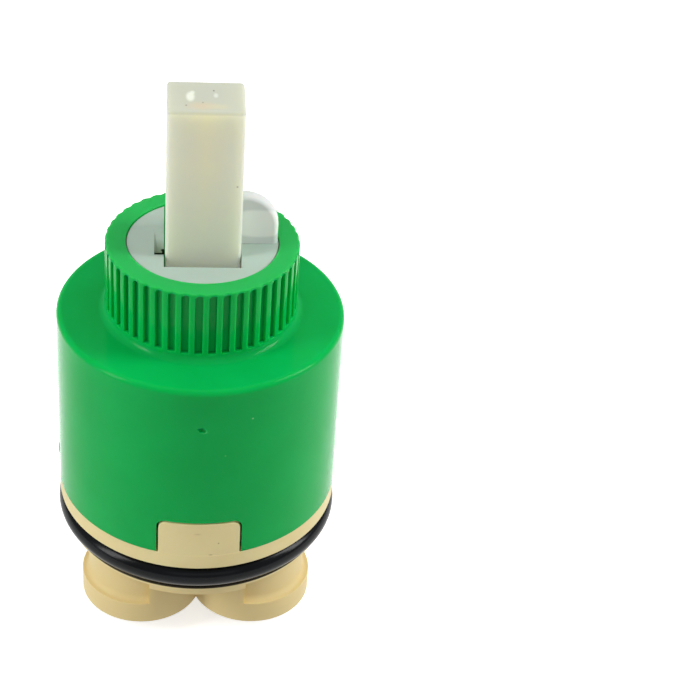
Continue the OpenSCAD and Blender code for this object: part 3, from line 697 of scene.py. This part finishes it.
def makeInletSeal(node):
    low, high = boxMm(node)
    at = ((low.x + high.x) / 2, (low.y + high.y) / 2)
    inner, outer, soft = baseShape["spigot"], (high.x - low.x) / 2, sealShape["round"]
    step, ledge = inner + sealShape["rebate"], low.z + sealShape["rebate"]
    bm = turned([(step, low.z, soft), (outer, low.z, soft), (outer, high.z, 0),
                 (inner, high.z, 0), (inner, ledge, 0), (step, ledge, 0)], 96, at)
    finished(node + "_rubber", bm, blackRubber, "cartridge_body", node)


makeORing()
makeInletSeal("inlet_seal_left")
makeInletSeal("inlet_seal_right")


# Guide: turned drum with the lever slot, a recess on the left and an ear on the right

guideShape = {
    "radius": 10.32, "drop": 0.2, "round": 0.15,
    "flangeRadius": 15.3, "flangeLow": 43.07, "flangeHigh": 46.07, "flangeRound": 0.2, "flangeTopRound": 0.1,
    "seatOuter": 14.83, "seatInner": 10.87, "seatDepth": 0.4,
    "slotHalf": 5.25, "slotRight": 5.15, "slotFront": 6.35, "slotRear": 20.0,
    "slotRound": 0.1, "slotRimEnd": 8.32,
    "recessWidth": 1.3, "recessFront": -3.45, "recessBack": 2.35, "recessDepth": 4.2,
    "rampEnd": -2.35, "rampDepth": 0.45, "rampLap": 0.01, "notchWidth": 0.25, "notchBack": -1.6,
    "earThick": 2.0, "earFront": 0.45, "earFlat": 0.25, "earRound": 0.7, "earClear": 0.03,
    "pinRadius": 1.6, "railX": 8.08, "railRadius": 14.4, "lugRadius": 17.5, "lugAngle": 10,
}
whiteFinish = {
    "colour": (0.40, 0.50, 0.43), "deep": (0.37, 0.47, 0.40),
    # painted light: the fades draw the ear, above the guide's top, in the paler top white, and all more than
    # a millimetre below the top in the still paler inside white, which throws more light onto the lever in
    # the slot
    "top": (0.70, 0.73, 0.71), "inside": (0.85, 0.88, 0.80),
    "fades": (("top", 0.01, 0.06), ("inside", -0.6, -1.0)),
    "gloss": (0.38, 0.48), "grain": 5200, "clouds": 140,
    "sockets": {"Specular IOR Level": 0.25, "Subsurface Weight": 0.2, "Subsurface Scale": 0.0012},
    "marks": (
        ((-5.9, -2.6, 59.0), 0.35, 1.20, (1, 3.2, 0.45), 0.95, (0.12, 0.19, 0.09)),  # shade in the recess
        ((-5.9, -2.9, 58.6), 0.85, 0.10, (1.6, 0.8, 1.1), 1, (0.01, 0.025, 0.01)),
        ((-5.4, -1.75, 58.9), 0.30, 0.10, (1, 1, 1.6), 1, (0.01, 0.025, 0.01)),
        ((7.5, -0.5, 62.9), 1.50, 0.30, (3, 0.6, 1.3), 0.9, (0.92, 0.93, 0.90)),  # painted light on the front of the ear, where the lever shades it
    ),
}
guideTop = housingHigh.z - guideShape["drop"]
whitePlastic = moulded("white_moulding", whiteFinish, guideTop)


def makeEar():
    # quarter-round plate that stays inside the drum's outline
    shape = guideShape
    thick, foot, top = shape["earThick"], guideTop - bite, guideHigh.z
    back = thick - shape["earFront"]
    left, right = shape["slotRight"] + skin, math.sqrt(shape["radius"] ** 2 - back ** 2) - shape["earClear"]
    bm = prism([(left, foot, 0), (right, foot, 0), (right, top, right - left - shape["earFlat"]),
                (left, top, 0)], thick)
    shifted(bm, (0, back - thick / 2, 0))

    def alongFace(edge):
        start, end = (vert.co for vert in edge.verts)
        return near(start.y, end.y) and max(start.x, end.x) > left + skin

    outer = sharpEdges(bm, 50, lambda p: p.x > left + skin or p.z > guideTop)
    return rounded(bm, [edge for edge in outer if alongFace(edge)], shape["earRound"], segments=4)


def makeDrum():
    # drum and flange with the slip ring's seat, rails for the carrier below and a stop lug behind
    shape = guideShape
    low, high, seat = shape["flangeLow"], shape["flangeHigh"], shape["flangeHigh"] - shape["seatDepth"]
    bm = turned([
        (0, low, 0), (shape["flangeRadius"], low, shape["flangeRound"]),
        (shape["flangeRadius"], high, shape["flangeTopRound"]), (shape["seatOuter"], high, 0),
        (shape["seatOuter"], seat, 0), (shape["seatInner"], seat, 0), (shape["seatInner"], high, 0),
        (shape["radius"], high, 0), (shape["radius"], guideTop, shape["round"]), (0, guideTop, 0),
    ], steps=180)
    rails = rod(shape["railRadius"], guideLow.z, low + bite, steps=120)
    rails = carved(rails, block((-shape["railX"], -through, 0), (shape["railX"], through, 2 * through)))
    lug = sector(rod(shape["lugRadius"], low + skin, high - skin, steps=180), 90, shape["lugAngle"])
    return joined(bm, rails, lug)


def makeGuide():
    shape = guideShape
    left, right, over = -shape["slotHalf"], shape["slotRight"], guideTop + past
    front, rampEnd, back = shape["recessFront"], shape["rampEnd"], shape["recessBack"]
    slot = block((left, -shape["slotFront"], guideLow.z - past), (right, shape["slotFront"], over))
    rearSlot = block((left, 0, shape["flangeHigh"]), (right, shape["slotRear"], over))
    ramp = prism([(rampEnd, guideTop - shape["rampDepth"], 0), (back, guideTop + skin, 0),
                  (back, over, 0), (rampEnd, over, 0)], 2 * shape["recessWidth"])
    moved(ramp, Matrix.Translation((left, 0, 0)) @ Matrix.Rotation(math.pi / 2, 4, "Z"))
    low = guideTop - shape["recessDepth"]
    recess = block((left - shape["recessWidth"], front, low),
                   (left + bite, rampEnd + shape["rampLap"], over))
    notch = block((left - shape["notchWidth"], front, low), (left + bite, shape["notchBack"], over))
    pinHole = crossRod(shape["pinRadius"], through, pivotHeight, steps=48)
    bm = carved(makeDrum(), slot, rearSlot, ramp, recess, notch, pinHole)

    def onSlotRim(point):
        return near(point.z, guideTop) and abs(point.x) < skin - left and point.y < shape["slotRimEnd"]

    softened(bm, shape["slotRound"], onSlotRim, degrees=60)
    bm = joined(bm, makeEar())
    finished("guide_moulding", bm, whitePlastic, "rotor", "rotary_guide")


makeGuide()


# Lever: moulded bar with a narrower shank and a round foot

leverShape = {
    "topRound": 0.4, "edgeRound": 0.5, "barBelowPivot": 4.0, "shankWidth": 8.8, "shankDepth": 4.4,
    "footRadius": 3.2, "pinHole": 1.65,
}
leverFinish = {
    # foot and tip are painted: foot is a painted reflection of the green housing and painted shade towards
    # the guide, tip is painted shade on the top
    "edge": (0.74, 0.75, 0.63), "core": (0.80, 0.78, 0.57), "foot": (0.66, 0.70, 0.58),
    "tip": (0.53, 0.55, 0.455), "coreHalfWidth": 3.8, "footFade": 8.0, "tipFade": (-0.7, -0.1),
    "gloss": (0.45, 0.55), "grain": 4200, "ripple": 700, "rippleHeight": 0.04,
    "sockets": {"Specular IOR Level": 0.25, "Subsurface Weight": 1.0,
                "Subsurface Radius": (1.0, 0.9, 0.6), "Subsurface Scale": 0.004},
    "marks": (
        ((-2.05, -0.20, 82.0), 0.35, 0.35, (1.0, 2.2, 1), 0.75, (0.85, 0.88, 0.78)),  # pale patches on the top face
        ((-1.75, 0.90, 82.0), 0.15, 0.25, (1.0, 1.6, 1), 0.55, (0.85, 0.88, 0.78)),
        ((1.26, 0.19, 82.0), 0.15, 0.30, (0.9, 1.8, 1), 0.6, (0.80, 0.83, 0.76)),
        ((-0.55, -2.70, 82.0), 0.50, 1.30, (1.4, 0.8, 1), 0.55, (0.66, 0.54, 0.36)),  # moulding stain
        ((1.60, -2.75, 82.0), 0.40, 1.00, (1.3, 0.7, 1), 0.35, (0.66, 0.62, 0.38)),
        ((1.00, 1.45, 82.0), 0.06, 0.10, (1, 1.6, 1), 0.8, (0.12, 0.12, 0.10)),  # specks
        ((-0.45, -1.75, 82.0), 0.05, 0.10, (1, 1.6, 1), 0.6, (0.20, 0.17, 0.12)),
        ((-2.60, -2.55, 82.0), 0.06, 0.12, (1, 1.6, 1), 0.6, (0.16, 0.15, 0.12)),
        ((4.28, -4.0, 70.78), 0.06, 0.12, (1, 1, 1), 0.6, (0.20, 0.19, 0.16)),
        ((0, -3.9, 81.9), 0.35, 0.25, (1000, 1, 1), 0.25, (0.40, 0.42, 0.34)),  # painted shade along the front top edge, over its highlight
    ),
}


def leverNylon():
    # natural nylon, yellower in the thick middle; greener and darker towards the guide as a painted
    # reflection of the green housing and painted shade, and darker on top as painted shade
    finish, nodes = leverFinish, Nodes("lever_nylon")
    side = nodes.add("ShaderNodeMath", operation="ABSOLUTE")
    nodes.link(nodes.axis("X"), side.inputs[0])
    fromCore = nodes.fade(side.outputs["Value"], 0, finish["coreHalfWidth"])
    colour = nodes.mix(fromCore, finish["core"], finish["edge"])
    height, drop = nodes.axis("Z"), finish["footFade"]
    fromFoot = nodes.fade(height, guideHigh.z - drop, leverHigh.z - drop)
    colour = nodes.mix(fromFoot, finish["foot"], colour)
    atTip = nodes.fade(height, *(leverHigh.z + offset for offset in finish["tipFade"]))
    colour = nodes.marked(nodes.mix(atTip, colour, finish["tip"]), finish["marks"])
    nodes.bump(nodes.noise(finish["ripple"], 3), finish["rippleHeight"])
    return nodes.surface(colour, nodes.noise(finish["grain"]), finish)


creamNylon = leverNylon()


def makeLever():
    shape = leverShape
    footMiddle = leverLow.z + shape["footRadius"]
    wide, deep = shape["shankWidth"] / 2, shape["shankDepth"] / 2
    bm = block((leverLow.x, leverLow.y, pivotHeight - shape["barBelowPivot"]), leverHigh)
    shank = block((-wide, -deep, footMiddle), (wide, deep, pivotHeight))
    foot = crossRod(shape["footRadius"], wide, footMiddle, steps=72)
    hole = crossRod(shape["pinHole"], through, pivotHeight, steps=48)
    bm = carved(joined(bm, shank, foot), hole)

    def atCorner(point):
        return near(abs(point.x), leverHigh.x) and near(abs(point.y), leverHigh.y)

    upright = [edge for edge in sharpEdges(bm, 60, atCorner)
               if not near(edge.verts[0].co.z, edge.verts[1].co.z)]
    rounded(bm, upright, shape["edgeRound"], segments=4)
    softened(bm, shape["topRound"], lambda p: near(p.z, leverHigh.z), degrees=60, segments=4)
    finished("lever_bar", bm, creamNylon, "lever", "lever")


makeLever()


# Inner pieces keep their solids and get their finish

ceramicFinish = {
    "colour": (0.050, 0.052, 0.043), "deep": (0.036, 0.038, 0.031),
    "gloss": (0.10, 0.16), "grain": 9000, "clouds": 300,
}
carrierFinish = {
    "colour": (0.050, 0.055, 0.060), "deep": (0.038, 0.042, 0.046),
    "gloss": (0.45, 0.55), "grain": 5200, "clouds": 140,
}
slipRingFinish = {
    "colour": (0.50, 0.53, 0.55), "deep": (0.45, 0.48, 0.50),
    "gloss": (0.25, 0.32), "grain": 6500, "clouds": 160,
}
steelFinish = {
    "colour": (0.50, 0.50, 0.50), "bright": (0.66, 0.66, 0.66), "gloss": (0.18, 0.30),
    "lines": 6000, "lineStretch": (0.05, 1, 1), "sockets": {"Metallic": 1.0},
}


def groundSteel():
    finish, nodes = steelFinish, Nodes("ground_steel")
    lines = nodes.noise(finish["lines"], stretch=finish["lineStretch"])
    nodes.bump(lines, grainHeight)
    return nodes.surface(nodes.mix(lines, finish["colour"], finish["bright"]), lines, finish)


discCeramic = moulded("disc_ceramic", ceramicFinish)
innerPieces = {
    "fixed_disc": discCeramic, "moving_disc": discCeramic,
    "disc_carrier": moulded("carrier_moulding", carrierFinish),
    "carrier_seal": blackRubber, "disc_seal_left": blackRubber, "disc_seal_right": blackRubber,
    "disc_seal_outlet": blackRubber, "thrust_ring": moulded("slip_ring_plastic", slipRingFinish),
    "lever_pin": groundSteel(),
}
for node, material in innerPieces.items():
    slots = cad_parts[node].data.materials
    slots.clear()
    slots.append(material)
print("inner pieces finished:", len(innerPieces))


# Stage: floor, light and camera, in metres

stage = {
    "floorHalf": 4.0, "floorColour": (0.94, 0.94, 0.94, 1), "floorRoughness": 0.9, "floorGlow": 0.6,
    "white": (1, 1, 1, 1), "world": 0.45, "aim": (0, 0, 0.04),
    "camera": (-0.00547, -0.22996, 0.20854), "yaw": 6.621, "pitch": -35.789, "roll": 4.447,
    "lens": 103.32, "sensor": 36, "clip": 0.01,
}
softboxes = {  # name: place, size, watts
    "leftStrip": ((-0.62, -0.22, 0.38), (0.20, 0.50), 3.3),
    "rightStrip": ((0.62, -0.05, 0.46), (0.20, 0.50), 3.9),
    "frontBox": ((0.05, -0.70, 0.45), (0.70, 0.30), 0.4),
    "topBox": ((0.0, 0.10, 0.75), (0.60, 0.60), 0.8),
}


def makeFloor():
    # plain paper, clear from its underside so that the ports can be looked at from below
    bm = bmesh.new()
    bmesh.ops.create_grid(bm, x_segments=1, y_segments=1, size=stage["floorHalf"])
    floor = asObject("floor", bm)
    nodes = Nodes("floor_paper")
    nodes.put({"Base Color": stage["floorColour"], "Roughness": stage["floorRoughness"],
               "Emission Color": stage["white"], "Emission Strength": stage["floorGlow"]})
    clear = nodes.add("ShaderNodeBsdfTransparent")
    facing = nodes.add("ShaderNodeNewGeometry")
    mix = nodes.add("ShaderNodeMixShader")
    nodes.link(facing.outputs["Backfacing"], mix.inputs["Fac"])
    nodes.link(nodes.shader.outputs["BSDF"], mix.inputs[1])
    nodes.link(clear.outputs["BSDF"], mix.inputs[2])
    nodes.link(mix.outputs["Shader"], nodes.tree.nodes["Material Output"].inputs["Surface"])
    floor.data.materials.append(nodes.material)
    floor.visible_diffuse = False  # keeps the white floor from washing out the colours


def makeLights():
    world = bpy.data.worlds.new("studio")
    world.use_nodes = True
    background = world.node_tree.nodes["Background"]
    background.inputs["Color"].default_value = stage["white"]
    background.inputs["Strength"].default_value = stage["world"]
    bpy.context.scene.world = world
    for name, (place, size, watts) in softboxes.items():
        light = bpy.data.lights.new(name, "AREA")
        light.shape = "RECTANGLE"
        light.size, light.size_y = size
        light.energy = watts
        lamp = bpy.data.objects.new(name, light)
        lamp.location = place
        lamp.rotation_euler = (Vector(stage["aim"]) - Vector(place)).to_track_quat("-Z", "Y").to_euler()
        bpy.context.scene.collection.objects.link(lamp)


def makeCamera():
    yaw, pitch, roll = (math.radians(stage[key]) for key in ("yaw", "pitch", "roll"))
    ahead = Vector((math.sin(yaw) * math.cos(pitch), math.cos(yaw) * math.cos(pitch), math.sin(pitch)))
    right = Vector((math.cos(yaw), -math.sin(yaw), 0))
    up = right.cross(ahead)
    right, up = right * math.cos(roll) + up * math.sin(roll), up * math.cos(roll) - right * math.sin(roll)
    camera = bpy.data.cameras.new("photoCamera")
    camera.lens, camera.sensor_width, camera.clip_start = stage["lens"], stage["sensor"], stage["clip"]
    eye = bpy.data.objects.new("photoCamera", camera)
    turn = Matrix((right, up, -ahead)).transposed().to_4x4()
    eye.matrix_world = Matrix.Translation(stage["camera"]) @ turn
    bpy.context.scene.collection.objects.link(eye)
    bpy.context.scene.camera = eye


makeFloor()
makeLights()
makeCamera()
bpy.context.scene.view_settings.view_transform = "Standard"
print("stage set")
